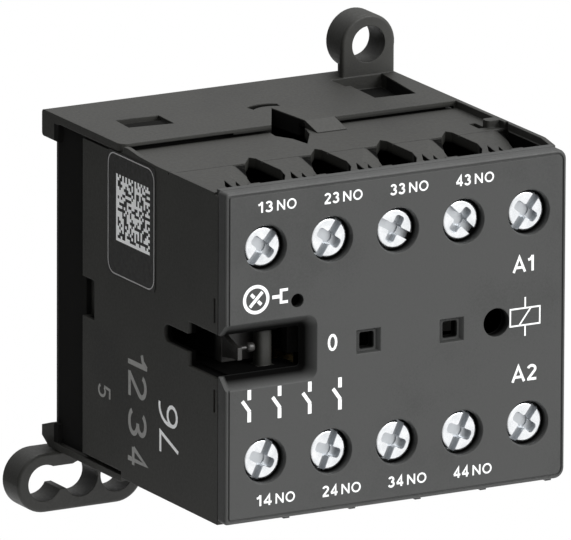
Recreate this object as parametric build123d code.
from build123d import *
import os

# A small four-pole contactor relay for a 35 mm DIN rail.
# X is the width, Y the depth and Z the height. The front looks along -Y.
# The origin is in the panel plane, at the middle of the rail recess. All sizes are in millimetres.

# Outside
WIDTH = 47.0
HALF = WIDTH / 2
DEPTH = 46.5
BASE_TOP = 21.1
DECK_TOP = 20.2
DECK_BOTTOM = -20.6
COVER_TOP = 20.9
COVER_BOTTOM = -20.3
COVER_THICKNESS = 1.9
WALL = 1.1
SHELL = 1.4
BASE_FRONT = -20.2
HOUSING_FRONT = -(DEPTH - COVER_THICKNESS)
SIDE_WALL_REAR = -10.5

# Rail and fixing holes
RAIL_HALF = 17.8
SEAT = -2.7
FLOOR = -4.2
LUG_THICKNESS = 4.0
LUG_RADIUS = 3.75
FIXING_RADIUS = 2.3
FIXING_HALF_HEIGHT = 25.0
UPPER_FIXING_X = 19.8
LOWER_FIXING_PITCHES = (35.0, 40.0, 45.0)
SLOT_DEPTH = 1.0
SLOT_RISE = 2.0

# Terminals
PITCH = 9.07
TERMINALS = 5
POLES = 4
FIRST_X = -18.0
MIDDLE = 0.35
TERMINAL_HEIGHT = 13.2
SCREW_HOLE = 2.75
HEAD_RADIUS = 2.5
HEAD_FRONT = -45.7
HEAD_HEIGHT = 2.2
SHANK_RADIUS = 1.75
SHANK_REAR = -35.4
CLAMP_SIDE = 6.4
CLAMP_FRONT = -43.45
CLAMP_THICKNESS = 1.0
PLATE_FRONT = -39.4
PLATE_THICKNESS = 1.2
TOP_NAMES = ("13", "23", "33", "43", "a1")
BOTTOM_NAMES = ("14", "24", "34", "44", "a2")
TOP_SLOT_ANGLES = (49, 55, -30, -44, 52)
BOTTOM_SLOT_ANGLES = (65, 68, 65, 64, 52)

# Contacts: distances from the middle plane of the mechanism
LEG = (8.9, 9.7)
FINGER_END = 4.4
TIP_HEIGHT = 5.9
TIP_RADIUS = 1.3
TIP_THICKNESS = 0.6
STRIP = 0.8
FINGER_FRONT = -30.4
STRIP_HALF_WIDTH = 1.9
CONTACT_GAP = 2.2
BRIDGE_REAR = FINGER_FRONT - TIP_THICKNESS - CONTACT_GAP - TIP_THICKNESS
BRIDGE_HALF_WIDTH = 1.35
BRIDGE_HALF_HEIGHT = 7.2

# Carrier and magnet
CARRIER_HALF = 3.2
TOWER_HALF_WIDTH = 2.25
WINDOW_HALF_WIDTH = 1.55
WINDOW_FRONT = -38.6
HOLDER = (-25.9, -23.7)
HOLDER_HALF_WIDTH = 17.8
PARTITION = (-27.2, -26.0)
ARMATURE_REAR = -20.2
CORE_HALF_WIDTH = 12.0
CORE_HALF_HEIGHT = 5.5
CORE_REAR = -4.8
CORE_BACK = -8.2
POLE_FACE = -17.0
SPRING_X = 15.5
SPRING_SEAT = -12.0

# Side window of the front, with its bevel
WINDOW_Z = (-2.1, 3.0)
WINDOW_RIGHT = -12.45
BEVEL = 1.55


def block(x, y, z):
    """A box between two X, two Y and two Z values."""
    ranges = (x, y, z)
    centre = [(low + high) / 2 for low, high in ranges]
    size = [high - low for low, high in ranges]
    return Pos(*centre) * Box(*size)


def mirrored_block(x, y, heights, side):
    """A box whose Z values are distances from the middle plane, above it or below it."""
    z = sorted(MIDDLE + side * height for height in heights)
    return block(x, y, z)


def rod(start, end, radius):
    """A cylinder between two points that differ along one axis."""
    start, end = Vector(*start), Vector(*end)
    return Plane((start + end) / 2, z_dir=end - start) * Cylinder(radius, (end - start).length)


def slab(points, z):
    """A plate with an outline in X and Y, between two heights."""
    outline = make_face(Polyline(*points, close=True))
    return Pos(0, 0, z[0]) * extrude(outline, z[1] - z[0])


def profile(points, x):
    """A bar with an outline in Y and Z, between two X values."""
    outline = make_face(Polyline(*points, close=True))
    return Pos(x[0], 0, 0) * extrude(Plane.YZ * outline, x[1] - x[0])


def rounded_block(x, y, z, radius):
    """A box whose four edges along Y are rounded."""
    centre = ((x[0] + x[1]) / 2, y[1], (z[0] + z[1]) / 2)
    shape = RectangleRounded(x[1] - x[0], z[1] - z[0], radius)
    return Pos(*centre) * extrude(Plane.XZ * shape, y[1] - y[0])


def funnel(x, z, outer, inner, depth):
    """A rectangular bevel cut into the front face, from the outer size to the inner size."""
    front = Plane((x, -DEPTH, z), x_dir=(1, 0, 0), z_dir=(0, 1, 0))
    start = front * Rectangle(*outer)
    end = front.offset(depth) * Rectangle(*inner)
    return loft([start, end])


def terminal_x(index):
    return FIRST_X + index * PITCH


def barrier_x(index):
    return terminal_x(index) + PITCH / 2


# ---------------------------------------------------------------- housing pieces


def rail_hook():
    """The fixed hook above the rail and the ramped lip below it, with the noses that hold the rail."""
    hook = block((-HALF, HALF), (FLOOR, 0), (RAIL_HALF, BASE_TOP))
    hook = fillet(hook.edges().filter_by(Axis.X).group_by(Axis.Y)[-1], 0.45)
    lip_outline = [
        (FLOOR, -RAIL_HALF),
        (SEAT, -RAIL_HALF),
        (0, -RAIL_HALF - 0.9),
        (0, -BASE_TOP + 1.1),
        (-1.8, -BASE_TOP),
        (FLOOR, -BASE_TOP),
    ]
    lip = profile(lip_outline, (-HALF, HALF))
    spring_pocket = block((-8.3, 8.3), (SEAT, -0.9), (RAIL_HALF, RAIL_HALF + 1.9))
    body = hook + lip - spring_pocket
    for x in ((-14.6, -9.6), (9.6, 14.6)):
        upper = [(-1.5, 18.0), (-1.5, 16.5), (-1.0, 16.5), (-0.1, 17.4), (-0.1, 18.0)]
        lower = [(-1.5, -19.0), (-1.5, -17.0), (-1.0, -17.0), (-0.1, -17.9), (-0.1, -19.0)]
        body = body + profile(upper, x) + profile(lower, x)
    return body


def upper_lug():
    """The fixing lug above the right rear corner: a round eye on a neck with a thin front web."""
    rear = (-LUG_THICKNESS, 0)
    web = (-LUG_THICKNESS, -LUG_THICKNESS + 0.6)
    heights = (BASE_TOP - 0.6, FIXING_HALF_HEIGHT)
    eye = rod(
        (UPPER_FIXING_X, rear[0], FIXING_HALF_HEIGHT),
        (UPPER_FIXING_X, rear[1], FIXING_HALF_HEIGHT),
        LUG_RADIUS,
    )
    neck = block((UPPER_FIXING_X - 2.1, HALF), rear, heights)
    neck = neck + block((UPPER_FIXING_X - LUG_RADIUS, HALF), web, heights)
    lug = eye + neck
    front_face = lug.faces().sort_by(Axis.Y)[0]
    rim = [edge for edge in front_face.outer_wire().edges() if edge.center().Z > BASE_TOP]
    hole = rod(
        (UPPER_FIXING_X, 1, FIXING_HALF_HEIGHT),
        (UPPER_FIXING_X, -LUG_THICKNESS - 1, FIXING_HALF_HEIGHT),
        FIXING_RADIUS,
    )
    return fillet(rim, 0.4), hole


def lower_loop():
    """The fixing loop below the left rear corner, with three positions in a row."""
    xs = [UPPER_FIXING_X - pitch for pitch in LOWER_FIXING_PITCHES]
    z = -FIXING_HALF_HEIGHT
    rear = (-LUG_THICKNESS, 0)
    outer = rounded_block(
        (xs[-1] - LUG_RADIUS, xs[0] + LUG_RADIUS),
        rear,
        (z - LUG_RADIUS, z + LUG_RADIUS),
        LUG_RADIUS - 0.01,
    )
    outer = fillet(outer.edges().group_by(Axis.Y)[0], 0.4)
    joint = block((-21.6, xs[0] + LUG_RADIUS - 0.6), rear, (z + 2.9, -BASE_TOP + 0.6))
    holes = [rod((x, 1, z), (x, -LUG_THICKNESS - 1, z), FIXING_RADIUS) for x in xs]
    neck = block((xs[2], xs[1]), (-LUG_THICKNESS - 1, 1), (z - SLOT_DEPTH, z + SLOT_RISE))
    return outer + joint, holes + [neck]


def top_plate_details():
    """Pockets and slots cut in the top plate of the base."""
    pocket = slab([(-18.7, -13.3), (-18.4, -9.3), (-12.6, -9.6), (-12.8, -14.0)], (BASE_TOP - 0.4, BASE_TOP + 1))
    deep_end = slab([(-18.4, -9.3), (-12.6, -9.6), (-12.6, -10.4), (-18.3, -10.3)], (BASE_TOP - 0.8, BASE_TOP + 1))
    slot_step = slab([(14.4, -4.1), (20.6, -4.1), (20.6, -8.0), (14.5, -7.7)], (BASE_TOP - 0.5, BASE_TOP + 1))
    slot = slab([(15.3, -4.1), (21.6, -4.1), (20.4, -14.8), (14.9, -14.4)], (BASE_TOP - 1.7, BASE_TOP + 1))
    notch = slab([(1.3, -12.9), (2.0, -21.0), (-3.2, -21.0)], (18.0, BASE_TOP + 1))
    arc = Pos(0.9, -15.2, 0) * extrude(
        make_face(
            ThreePointArc((-2.2, 3.8), (0, 4.7), (2.0, 3.9))
            + Line((2.0, 3.9), (1.8, 2.7))
            + ThreePointArc((1.8, 2.7), (0, 3.3), (-2.0, 2.5))
            + Line((-2.0, 2.5), (-2.2, 3.8))
        ),
        BASE_TOP + 1,
    )
    left_undercut = block((-22.6, -8.0), (BASE_FRONT - 1, BASE_FRONT + 1.4), (18.0, BASE_TOP - 0.45))
    right_undercut = block((-8.0, 22.6), (BASE_FRONT - 1, BASE_FRONT + 1.4), (18.0, BASE_TOP - 0.65))
    cuts = [pocket, deep_end, slot_step, slot, notch, arc - block((-9, 9), (-30, 0), (0, 18.0))]
    return cuts + [left_undercut, right_undercut]


def tongue():
    """The snap tongue at the middle of the top plate: flat, then a ramp down to the deck."""
    outline = [
        (BASE_FRONT + 2, BASE_TOP),
        (BASE_FRONT, BASE_TOP),
        (BASE_FRONT - 3.2, DECK_TOP + 0.05),
        (BASE_FRONT, DECK_TOP + 0.05),
        (BASE_FRONT + 2, DECK_TOP - 0.1),
    ]
    return profile(outline, (1.9, 6.0))


def spring_post(side):
    """A boss on the floor of the base that a return spring sits on, with its guide pin."""
    boss = rod((side * SPRING_X, FLOOR, MIDDLE), (side * SPRING_X, SPRING_SEAT, MIDDLE), 2.6)
    pin = rod((side * SPRING_X, FLOOR, MIDDLE), (side * SPRING_X, SPRING_SEAT - 3, MIDDLE), 1.4)
    return boss + pin


def core_clamp(side):
    """A rib on the floor of the base that holds the core at one side."""
    x = sorted((side * (CORE_HALF_WIDTH + 0.1), side * (CORE_HALF_WIDTH + 1.3)))
    return mirrored_block(x, (-9.5, FLOOR), (-CORE_HALF_HEIGHT, CORE_HALF_HEIGHT), 1)


def base():
    """The rear shell: floor, side walls, top and bottom plates, rail hook and fixing lugs."""
    floor = block((-22.9, 22.9), (FLOOR - 0.1, SEAT), (-BASE_TOP, BASE_TOP))
    outer = block((-22.9, 22.9), (SIDE_WALL_REAR + 0.1, FLOOR), (-20.3, 20.3))
    inner_half = HALF - WALL - 0.1
    front_part = block((-inner_half, inner_half), (BASE_FRONT, SIDE_WALL_REAR + 0.1), (-20.3, 20.3))
    cavity = block((-20.9, 20.9), (BASE_FRONT - 1, FLOOR), (-18.9, 18.9))
    top = block((-HALF, HALF), (BASE_FRONT, FLOOR), (BASE_TOP - 1.0, BASE_TOP))
    top = fillet(top.edges().filter_by(Axis.Z).group_by(Axis.Y)[0].sort_by(Axis.X)[0], 0.9)
    bottom = block((-HALF, HALF), (BASE_FRONT, FLOOR), (-BASE_TOP, -BASE_TOP + 0.8))
    lug, lug_hole = upper_lug()
    loop, loop_holes = lower_loop()
    body = floor + outer + front_part - cavity + top + bottom
    body = body + rail_hook() + lug + loop
    for cut in top_plate_details() + [lug_hole] + loop_holes:
        body = body - cut
    body = body + tongue()
    for side in (-1, 1):
        body = body + spring_post(side) + core_clamp(side)
    return body


def entry_outline(x, right_limit):
    """The outline of one cable entry: it leans to the left towards the front."""
    points = [
        (4.97, -32.2),
        (6.8, -29.85),
        (7.3, -30.7),
        (7.3, -36.9),
        (6.55, -39.4),
        (5.6, -41.0),
        (4.9, -42.2),
        (4.9, HOUSING_FRONT - 0.5),
        (1.3, HOUSING_FRONT - 0.5),
        (2.14, -41.0),
        (3.4, -35.7),
    ]
    return [(min(x + dx, right_limit), y) for dx, y in points]


def comb_cuts(z):
    """Cable entries and the small notches beside each screw, between two heights."""
    front = HOUSING_FRONT - 0.5
    cuts = []
    for index in range(TERMINALS):
        x = terminal_x(index)
        cuts.append(slab(entry_outline(x, HALF - 0.7), z))
        wide_notch = [(0.4, -38.2), (0.5, -41.0), (0.5, front), (-1.05, front), (-1.05, -40.9)]
        cuts.append(slab([(x + dx, y) for dx, y in wide_notch], z))
        narrow_notch = [(-1.1, -38.1), (-1.65, -40.65), (-2.1, front), (-2.9, front), (-2.45, -40.8)]
        cuts.append(slab([(x + dx, y) for dx, y in narrow_notch], z))
    return cuts


def strip_facet(index):
    """The wedge taken off the strip left of one cable entry, so that it slopes down to the entry."""
    x = terminal_x(index)
    outline = [(3.1, -32.3), (-0.3, -38.2), (0.5, -41.0), (2.3, -41.0), (3.6, -35.7), (5.1, -32.2)]
    region = slab([(x + dx, y) for dx, y in outline], (DECK_TOP - 1.2, DECK_TOP + 1))
    fold = Vector(-0.499, -0.866, 0)
    facet = Plane((x + 3.1, -32.3, DECK_TOP), x_dir=fold, z_dir=(0.366, -0.211, 0.906))
    return region & (facet * Pos(0, 0, 3) * Box(30, 30, 6))


def contact_barriers():
    """The walls between neighbouring poles, above and below the carrier."""
    walls = []
    for index in range(TERMINALS - 1):
        x = (barrier_x(index) - 0.45, barrier_x(index) + 0.45)
        y = (HOUSING_FRONT, PARTITION[0])
        walls.append(block(x, y, (MIDDLE + 4.0, 16.9)))
        walls.append(block(x, y, (-16.2, MIDDLE - 4.0)))
        walls.append(block(x, (-29.4, PARTITION[0]), (16.9, 19.0)))
        walls.append(block(x, (-29.4, PARTITION[0]), (-19.4, -16.1)))
    return walls


def terminal_posts():
    """The blocks behind the terminal plates, with a bore for each screw's end."""
    posts, bores = [], []
    for index in range(TERMINALS):
        left = -HALF + WALL if index == 0 else barrier_x(index - 1)
        right = HALF - WALL if index == TERMINALS - 1 else barrier_x(index)
        for side in (1, -1):
            heights = (LEG[1] + 0.1, TERMINAL_HEIGHT + 3.2)
            y = (-33.4, PLATE_FRONT + PLATE_THICKNESS + 0.1)
            posts.append(mirrored_block((left, right), sorted(y), heights, side))
            z = MIDDLE + side * TERMINAL_HEIGHT
            x = terminal_x(index)
            bores.append(rod((x, PLATE_FRONT, z), (x, -32.0, z), 2.75))
    return posts, bores


def window_chamber():
    """Two shelves and the post behind the side window of the front."""
    x, y = (-HALF + 0.5, -12.2), (HOUSING_FRONT, -40.2)
    rear_x, rear_y = (-HALF + 0.6, -13.6), (-40.3, -35.0)
    lower = (WINDOW_Z[0] - 1.0, WINDOW_Z[0] - 0.1)
    upper = (WINDOW_Z[1] + 0.1, WINDOW_Z[1] + 1.0)
    shelves = block(x, y, lower) + block(x, y, upper) + block(rear_x, rear_y, lower) + block(rear_x, rear_y, upper)
    post = block((-16.75, -14.75), (-42.6, -40.6), (WINDOW_Z[0] - 0.5, WINDOW_Z[1] + 0.5))
    collar = block((-17.2, -14.4), (-42.9, -40.3), (WINDOW_Z[1] - 0.75, WINDOW_Z[1] + 0.5))
    return shelves + fillet(post.edges().filter_by(Axis.Z), 0.7) + collar


def side_notch():
    """The opening in the left wall: wide behind the front window, then a narrow round-ended slot."""
    wide = block((-HALF - 1, -HALF + WALL + 0.5), (HOUSING_FRONT - 1, -37.2), (-2.5, 3.05))
    slot = block((-HALF - 1, -HALF + WALL + 0.5), (-37.3, -31.2), (-0.78, 1.47))
    rear_edges = slot.edges().filter_by(Axis.X).group_by(Axis.Y)[-1]
    return wide + fillet(rear_edges, 0.95)


def deck_rims():
    """The low rims above the side walls, and the nub beside the right one on the deck."""
    right = [
        (BASE_FRONT - 0.1, DECK_TOP - 0.5),
        (BASE_FRONT - 0.1, BASE_TOP),
        (-41.2, BASE_TOP),
        (HOUSING_FRONT + 0.95, BASE_TOP - 0.45),
        (HOUSING_FRONT + 0.95, DECK_TOP - 0.5),
    ]
    left = [
        (BASE_FRONT - 0.5, DECK_TOP - 0.5),
        (BASE_FRONT - 0.5, BASE_TOP - 0.45),
        (BASE_FRONT - 0.75, BASE_TOP - 0.15),
        (BASE_FRONT - 1.6, BASE_TOP - 0.1),
        (BASE_FRONT - 4.5, DECK_TOP + 0.45),
        (BASE_FRONT - 9.0, DECK_TOP + 0.25),
        (HOUSING_FRONT + 0.95, DECK_TOP + 0.25),
        (HOUSING_FRONT + 0.95, DECK_TOP - 0.5),
    ]
    nub = block((21.2, HALF - 0.3), (-31.0, -29.6), (DECK_TOP - 0.2, BASE_TOP))
    nub = fillet(nub.edges().filter_by(Axis.Z).group_by(Axis.X)[0], 0.5)
    return profile(right, (HALF - 0.6, HALF)) + profile(left, (-HALF, -HALF + 0.6)) + nub


def housing():
    """The middle shell: side walls, decks with the combs, partition, barriers and terminal posts."""
    y_side = (HOUSING_FRONT, SIDE_WALL_REAR)
    rear_half = BASE_TOP - 1.0 - 0.35
    tube = block((-HALF, HALF), y_side, (-rear_half, rear_half))
    front_tube = block((-HALF, HALF), (HOUSING_FRONT, BASE_FRONT - 0.1), (DECK_BOTTOM, DECK_TOP))
    inner = block((-HALF + WALL, HALF - WALL), (-60, 0), (DECK_BOTTOM + 1.3, DECK_TOP - 1.3))
    rear_inner = block((-HALF + WALL, HALF - WALL), (BASE_FRONT - 0.1, 0), (-30, 30))
    body = tube + front_tube - inner - rear_inner
    partition = block((-HALF + 0.5, HALF - 0.5), PARTITION, (-19.8, 19.3))
    opening = mirrored_block((-6.6, 6.6), (-30, -20), (-CARRIER_HALF - 0.6, CARRIER_HALF + 0.6), 1)
    body = body + partition - opening
    posts, bores = terminal_posts()
    for piece in contact_barriers() + posts:
        body = body + piece
    x_coil = terminal_x(TERMINALS - 1)
    for side in (1, -1):
        leg_slot = (LEG[0] - 0.3, LEG[1] + 0.3)
        body = body - mirrored_block((x_coil - 2.2, x_coil + 2.2), (-30, -20), leg_slot, side)
    for bore in bores:
        body = body - bore
    body = body + window_chamber() + deck_rims()
    for cut in comb_cuts((17.6, DECK_TOP + 2)) + comb_cuts((DECK_BOTTOM - 2, -17.6)):
        body = body - cut
    for index in range(TERMINALS):
        body = body - strip_facet(index)
    body = body - side_notch()
    rear_cut = block((-HALF - 1, -HALF + WALL + 0.5), (-13.5, SIDE_WALL_REAR + 1), (-2.45, 2.55))
    body = body - rear_cut
    for z in ((4.3, 7.4), (-6.8, -3.9)):
        body = body - block((-HALF - 1, -HALF + WALL + 0.2), (-44.0, -43.55), z)
    deck_joint = block((-HALF - 1, HALF - 0.7), (-32.3, -32.1), (DECK_TOP - 0.2, DECK_TOP + 1))
    nub_slot = block((20.3, 21.2), (-30.6, -28.0), (DECK_TOP - 1.2, DECK_TOP + 2))
    pocket = slab(
        [(-3.0, -20.0), (1.9, -20.0), (0.9, -23.2), (-1.7, -27.3), (-2.1, -24.4), (-3.3, -22.2)],
        (DECK_TOP - 3, DECK_TOP + 1),
    )
    return body - deck_joint - nub_slot - pocket


def front_panel(inset, y, left_radius, right_radius):
    """The outline of the front, inset by a distance, as a plate between two Y values."""
    x, z = (-HALF + inset, HALF - inset), (COVER_BOTTOM + inset, COVER_TOP - inset)
    panel = block(x, y, z)
    panel = fillet(panel.edges().filter_by(Axis.Y).group_by(Axis.X)[0], left_radius)
    return fillet(panel.edges().filter_by(Axis.Y).group_by(Axis.X)[-1], right_radius)


def cover_cuts():
    """The fine grooves of the front: one close to its edge, one across its top, and the side joints."""
    groove = (-DEPTH - 1, -DEPTH + 0.15)
    ring = front_panel(0.4, groove, 0.3, 1.0) - front_panel(0.62, (-DEPTH - 2, -DEPTH + 1), 0.2, 0.8)
    cuts = [ring, block((-30, 30), (-45.0, -44.85), (COVER_TOP - 0.15, COVER_TOP + 1))]
    for side in (-1, 1):
        x = sorted((side * (HALF - 0.15), side * (HALF + 1)))
        cuts.append(block(x, (-44.75, HOUSING_FRONT + 0.1), (-30, DECK_TOP)))
    return cuts


def front_cover():
    """The front plate with its screw holes, windows, coil hole, grooves and rear nubs."""
    plate = front_panel(0, (-DEPTH, HOUSING_FRONT), 0.5, 1.3)
    plate = fillet(plate.faces().sort_by(Axis.Y)[0].outer_wire().edges(), 0.35)
    plate = plate + block((-HALF + 0.3, HALF - 0.7), (HOUSING_FRONT - 0.1, -43.75), (DECK_TOP + 0.03, COVER_TOP))
    for cut in cover_cuts():
        plate = plate - cut
    for index in range(TERMINALS):
        nub_x = terminal_x(index) + 3.98
        plate = plate + block((nub_x - 0.4, nub_x + 0.4), (HOUSING_FRONT - 0.1, -44.05), (-20.95, -19.0))
        for side in (1, -1):
            x, z = terminal_x(index), MIDDLE + side * TERMINAL_HEIGHT
            hole = rod((x, -DEPTH - 1, z), (x, -40, z), SCREW_HOLE)
            mouth = Plane((x, -DEPTH, z), z_dir=(0, 1, 0)) * Cone(SCREW_HOLE + 0.3, SCREW_HOLE, 0.6)
            plate = plate - hole - mouth
    for x, z in ((-3.85, 0.3), (7.65, 0.2)):
        hole = rounded_block((x - 1.0, x + 1.0), (-DEPTH, -40), (z - 1.05, z + 1.05), 0.3)
        plate = plate - funnel(x, z, (3.4, 3.0), (2.5, 2.5), 0.5) - hole
    plate = plate - rod((13.84, -DEPTH - 1, 0.37), (13.84, -40, 0.37), 1.78)
    plate = plate - rod((-13.65, -DEPTH - 1, 6.54), (-13.65, -DEPTH + 1.4, 6.54), 0.85)
    return plate - side_window()


def side_window():
    """The large window of the front, open to the left, with bevelled edges and round corners."""
    left = -HALF - 3
    outer = ((left + WINDOW_RIGHT + BEVEL) / 2, (WINDOW_Z[0] + WINDOW_Z[1]) / 2)
    inner_size = (WINDOW_RIGHT - left, WINDOW_Z[1] - WINDOW_Z[0])
    through = rounded_block((left, WINDOW_RIGHT), (-DEPTH - 1, -40), WINDOW_Z, 0.5)
    front = Plane((outer[0], -DEPTH, outer[1]), x_dir=(1, 0, 0), z_dir=(0, 1, 0))
    outer_face = front * RectangleRounded(inner_size[0] + BEVEL, inner_size[1] + 2 * BEVEL, 1.4)
    back = Plane(
        ((left + WINDOW_RIGHT) / 2, -DEPTH + BEVEL, outer[1]), x_dir=(1, 0, 0), z_dir=(0, 1, 0)
    )
    inner_face = back * RectangleRounded(*inner_size, 0.5)
    return loft([outer_face, inner_face]) + through


def side_label():
    """The thin label on the left wall."""
    label = rounded_block((-29.0, -16.9), (HALF, HALF + 0.1), (4.5, 20.0), 0.7)
    return Rot(0, 0, 90) * label


# ---------------------------------------------------------------- magnet and coil


def core_pad():
    """The elastic pad between the floor of the base and the magnet core."""
    x = (-CORE_HALF_WIDTH + 0.5, CORE_HALF_WIDTH - 0.5)
    return mirrored_block(x, (CORE_REAR, FLOOR), (-CORE_HALF_HEIGHT, CORE_HALF_HEIGHT), 1)


def magnet_core():
    """The fixed E-shaped core: a back with three legs."""
    heights = (-CORE_HALF_HEIGHT, CORE_HALF_HEIGHT)
    core = mirrored_block((-CORE_HALF_WIDTH, CORE_HALF_WIDTH), (CORE_BACK, CORE_REAR), heights, 1)
    for x in ((-CORE_HALF_WIDTH, -9.0), (-3.0, 3.0), (9.0, CORE_HALF_WIDTH)):
        core = core + mirrored_block(x, (POLE_FACE, CORE_BACK), heights, 1)
    return core


def coil_bobbin():
    """A rectangular tube round the middle leg, with a flange at each end."""
    tube = mirrored_block((-3.9, 3.9), (-16.4, -8.5), (-6.4, 6.4), 1)
    for y in ((-16.4, -15.6), (-9.3, -8.5)):
        tube = tube + mirrored_block((-8.7, 8.7), y, (-9.5, 9.5), 1)
    return tube - mirrored_block((-3.2, 3.2), (-20, -5), (-5.7, 5.7), 1)


def coil_winding():
    """The wound wire, as one rounded ring between the flanges of the bobbin."""
    ring = rounded_block((-8.2, 8.2), (-15.55, -9.35), (MIDDLE - 9.0, MIDDLE + 9.0), 3.0)
    return ring - mirrored_block((-3.95, 3.95), (-20, -5), (-6.45, 6.45), 1)


def coil_leads():
    """The two insulated wires from the bobbin to the coil terminals."""
    leads = []
    for side in (1, -1):
        z = MIDDLE + side * (LEG[0] - 0.37)
        points = [(7.4, -16.45, z), (7.4, -17.2, z), (17.4, -17.2, z), (17.4, -20.4, z)]
        route = FilletPolyline(*points, radius=0.6)
        section = Plane(origin=points[0], z_dir=(0, -1, 0)) * Circle(0.32)
        leads.append(sweep(section, path=route))
    return Compound(children=leads)


def armature():
    """The moving iron, with the cross bore for its pin."""
    plate = mirrored_block((-11.6, 11.6), (HOLDER[1], ARMATURE_REAR), (-5.4, 5.4), 1)
    return plate - rod((0, -22.0, -20), (0, -22.0, 20), 0.85)


def armature_pin():
    """The pin that holds the armature between the two cheeks of the carrier."""
    return rod((0, -22.0, MIDDLE - 7.0), (0, -22.0, MIDDLE + 7.0), 0.8)


def coil_spring(x, z, y, outer, inner):
    """The space of a helical spring along Y, as a tube."""
    return rod((x, y[0], z), (x, y[1], z), outer) - rod((x, y[0] - 1, z), (x, y[1] + 1, z), inner)


# ---------------------------------------------------------------- contacts


def fixed_contact(index, side):
    """A terminal plate with its threaded collar, a leg to the rear and a finger to the tip."""
    x = terminal_x(index)
    plate_rear = PLATE_FRONT + PLATE_THICKNESS
    z = MIDDLE + side * TERMINAL_HEIGHT
    plate = mirrored_block((x - 3.2, x + 3.2), (PLATE_FRONT, plate_rear), (LEG[0], TERMINAL_HEIGHT + 3.2), side)
    collar = rod((x, plate_rear, z), (x, plate_rear + 1.6, z), 2.6)
    width = (x - STRIP_HALF_WIDTH, x + STRIP_HALF_WIDTH)
    leg = mirrored_block(width, (PLATE_FRONT, FINGER_FRONT + STRIP), LEG, side)
    finger = mirrored_block(width, (FINGER_FRONT, FINGER_FRONT + STRIP), (FINGER_END, LEG[1]), side)
    bore = rod((x, -45, z), (x, -30, z), SHANK_RADIUS + 0.05)
    return plate + collar + leg + finger - bore


def coil_terminal(side):
    """A terminal plate with a long leg that reaches back to the coil lead."""
    x = terminal_x(TERMINALS - 1)
    plate_rear = PLATE_FRONT + PLATE_THICKNESS
    z = MIDDLE + side * TERMINAL_HEIGHT
    plate = mirrored_block((x - 3.2, x + 3.2), (PLATE_FRONT, plate_rear), (LEG[0], TERMINAL_HEIGHT + 3.2), side)
    collar = rod((x, plate_rear, z), (x, plate_rear + 1.6, z), 2.6)
    leg = mirrored_block((x - 1.6, x + 1.6), (PLATE_FRONT, -18.6), LEG, side)
    bore = rod((x, -45, z), (x, -30, z), SHANK_RADIUS + 0.05)
    return plate + collar + leg - bore


def contact_tip(x, side, front):
    """One silver tip, a disc along Y."""
    z = MIDDLE + side * TIP_HEIGHT
    disc = rod((x, front, z), (x, front + TIP_THICKNESS, z), TIP_RADIUS)
    return disc


def fixed_contact_tips():
    tips = []
    for index in range(POLES):
        for side in (1, -1):
            tips.append(contact_tip(terminal_x(index), side, FINGER_FRONT - TIP_THICKNESS))
    return Compound(children=tips)


def bridge_contact(index):
    """The moving strip of one pole."""
    x = terminal_x(index)
    y = (BRIDGE_REAR - STRIP, BRIDGE_REAR)
    width = (x - BRIDGE_HALF_WIDTH, x + BRIDGE_HALF_WIDTH)
    return mirrored_block(width, y, (-BRIDGE_HALF_HEIGHT, BRIDGE_HALF_HEIGHT), 1)


def bridge_tips(index):
    return Compound(children=[contact_tip(terminal_x(index), side, BRIDGE_REAR) for side in (1, -1)])


def coupling_arm():
    """The thin arm of the carrier that reaches into the side window, with its cross pin."""
    outline = [(-39.5, -1.3), (-39.5, 1.6), (-42.2, 0.75), (-43.4, 0.7), (-43.4, -0.85), (-42.2, -0.9)]
    arm = profile(outline, (-20.1, -19.5))
    neck = rod((-19.6, -42.9, 0.5), (-18.6, -42.9, 0.5), 0.25)
    knob = rod((-18.7, -42.9, 0.5), (-17.6, -42.9, 0.5), 0.57)
    knob = fillet(knob.edges().filter_by(GeomType.CIRCLE), 0.35)
    return arm + neck + knob


def contact_carrier():
    """The moving plastic carrier: a tower with a window for each bridge, beam, stem and holder."""
    half = (-CARRIER_HALF, CARRIER_HALF)
    left = terminal_x(0) - TOWER_HALF_WIDTH
    right = terminal_x(POLES - 1) + TOWER_HALF_WIDTH
    carrier = mirrored_block((left, right), (-32.5, -30.7), half, 1)
    carrier = carrier + mirrored_block((-6, 6), (-32.0, HOLDER[0] + 0.5), half, 1)
    carrier = carrier + mirrored_block((-HOLDER_HALF_WIDTH, HOLDER_HALF_WIDTH), HOLDER, (-4.0, 4.0), 1)
    carrier = carrier + mirrored_block((-3.0, 3.0), HOLDER, (-7.2, 7.2), 1)
    for side in (1, -1):
        carrier = carrier + mirrored_block((-3.0, 3.0), (HOLDER[0], -20.6), (5.5, 7.2), side)
    carrier = carrier - rod((0, -22.0, -20), (0, -22.0, 20), 0.85)
    for index in range(POLES):
        x = terminal_x(index)
        tower_x = (x - TOWER_HALF_WIDTH, x + TOWER_HALF_WIDTH)
        tower = mirrored_block(tower_x, (WINDOW_FRONT - 1.0, -31.5), (-2.3, 2.3), 1)
        window_y = (WINDOW_FRONT, BRIDGE_REAR + 0.05)
        window = mirrored_block((x - WINDOW_HALF_WIDTH, x + WINDOW_HALF_WIDTH), window_y, (-9, 9), 1)
        carrier = carrier + tower - window
    return carrier + coupling_arm()


# ---------------------------------------------------------------- fasteners and springs


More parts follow.
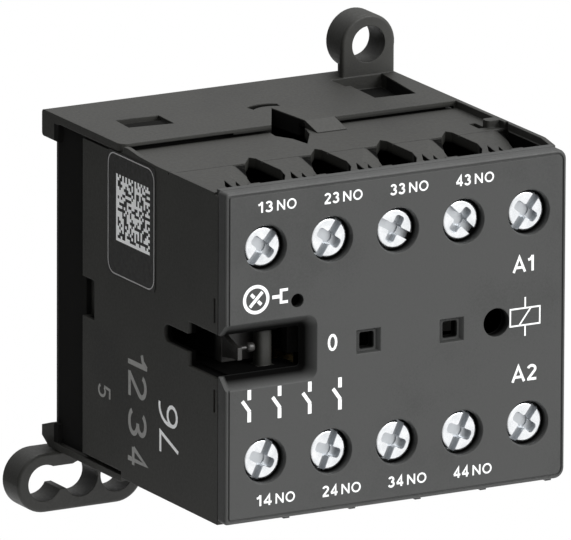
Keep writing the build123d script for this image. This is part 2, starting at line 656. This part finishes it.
def terminal_screw(index, side, angle):
    """A cheese-head screw with a through slot and a shorter cross slot."""
    x, z = terminal_x(index), MIDDLE + side * TERMINAL_HEIGHT
    head_rear = HEAD_FRONT + HEAD_HEIGHT
    head = rod((0, HEAD_FRONT, 0), (0, head_rear, 0), HEAD_RADIUS)
    head = fillet(head.edges().group_by(Axis.Y)[0], 0.35)
    slot = block((-4, 4), (HEAD_FRONT - 1, HEAD_FRONT + 1.0), (-0.5, 0.5))
    cross = block((-0.62, 0.62), (HEAD_FRONT - 1, HEAD_FRONT + 1.0), (-1.75, 1.75))
    cross = fillet(cross.edges().filter_by(Axis.Y), 0.4)
    recess = Plane((0, HEAD_FRONT, 0), z_dir=(0, 1, 0)) * Cylinder(0.9, 2.4)
    shank = rod((0, head_rear - 0.1, 0), (0, SHANK_REAR, 0), SHANK_RADIUS)
    shank = chamfer(shank.edges().group_by(Axis.Y)[-1], 0.4)
    screw = head + shank - slot - cross - recess
    return Pos(x, 0, z) * Rot(0, -angle, 0) * screw


def clamp_plate(index, side):
    """The square washer that rides under the screw's head and presses on the wire."""
    x, z = terminal_x(index), MIDDLE + side * TERMINAL_HEIGHT
    half = CLAMP_SIDE / 2
    y = (CLAMP_FRONT, CLAMP_FRONT + CLAMP_THICKNESS)
    plate = rounded_block((x - half, x + half), y, (z - half, z + half), 0.5)
    return plate - rod((x, -50, z), (x, -30, z), SHANK_RADIUS + 0.2)


def rail_spring():
    """The leaf in the rail hook that presses on the rail's edge, with a leg at each end."""
    y = (-2.5, -1.1)
    leaf = block((-8.0, 8.0), y, (RAIL_HALF - 0.9, RAIL_HALF - 0.5))
    for side in (-1, 1):
        x = sorted((side * 7.6, side * 8.0))
        leaf = leaf + block(x, y, (RAIL_HALF - 0.9, RAIL_HALF + 0.7))
    return leaf


def nodes():
    """Every node's name and shape."""
    result = {
        "base": base(),
        "housing": housing(),
        "front_cover": front_cover(),
        "side_label": side_label(),
        "core_pad": core_pad(),
        "magnet_core": magnet_core(),
        "coil_bobbin": coil_bobbin(),
        "coil_winding": coil_winding(),
        "coil_leads": coil_leads(),
        "armature": armature(),
        "armature_pin": armature_pin(),
        "contact_carrier": contact_carrier(),
        "fixed_contact_tips": fixed_contact_tips(),
        "coil_terminal_a1": coil_terminal(1),
        "coil_terminal_a2": coil_terminal(-1),
        "rail_spring": rail_spring(),
    }
    for side, name in ((-1, "left"), (1, "right")):
        result["return_spring_" + name] = coil_spring(
            side * SPRING_X, MIDDLE, (HOLDER[1] + 0.02, SPRING_SEAT - 0.02), 2.2, 1.6
        )
    for index in range(POLES):
        number = str(index + 1)
        result["fixed_contact_" + TOP_NAMES[index]] = fixed_contact(index, 1)
        result["fixed_contact_" + BOTTOM_NAMES[index]] = fixed_contact(index, -1)
        result["bridge_contact_" + number] = bridge_contact(index)
        result["bridge_tips_" + number] = bridge_tips(index)
        spring_y = (WINDOW_FRONT + 0.02, BRIDGE_REAR - STRIP - 0.02)
        result["contact_spring_" + number] = coil_spring(terminal_x(index), MIDDLE, spring_y, 1.4, 0.9)
    for index in range(TERMINALS):
        result["terminal_screw_" + TOP_NAMES[index]] = terminal_screw(index, 1, TOP_SLOT_ANGLES[index])
        result["terminal_screw_" + BOTTOM_NAMES[index]] = terminal_screw(index, -1, BOTTOM_SLOT_ANGLES[index])
        result["clamp_plate_" + TOP_NAMES[index]] = clamp_plate(index, 1)
        result["clamp_plate_" + BOTTOM_NAMES[index]] = clamp_plate(index, -1)
    return result


os.makedirs("parts", exist_ok=True)
for node, shape in nodes().items():
    export_step(shape, "parts/" + node + ".step")
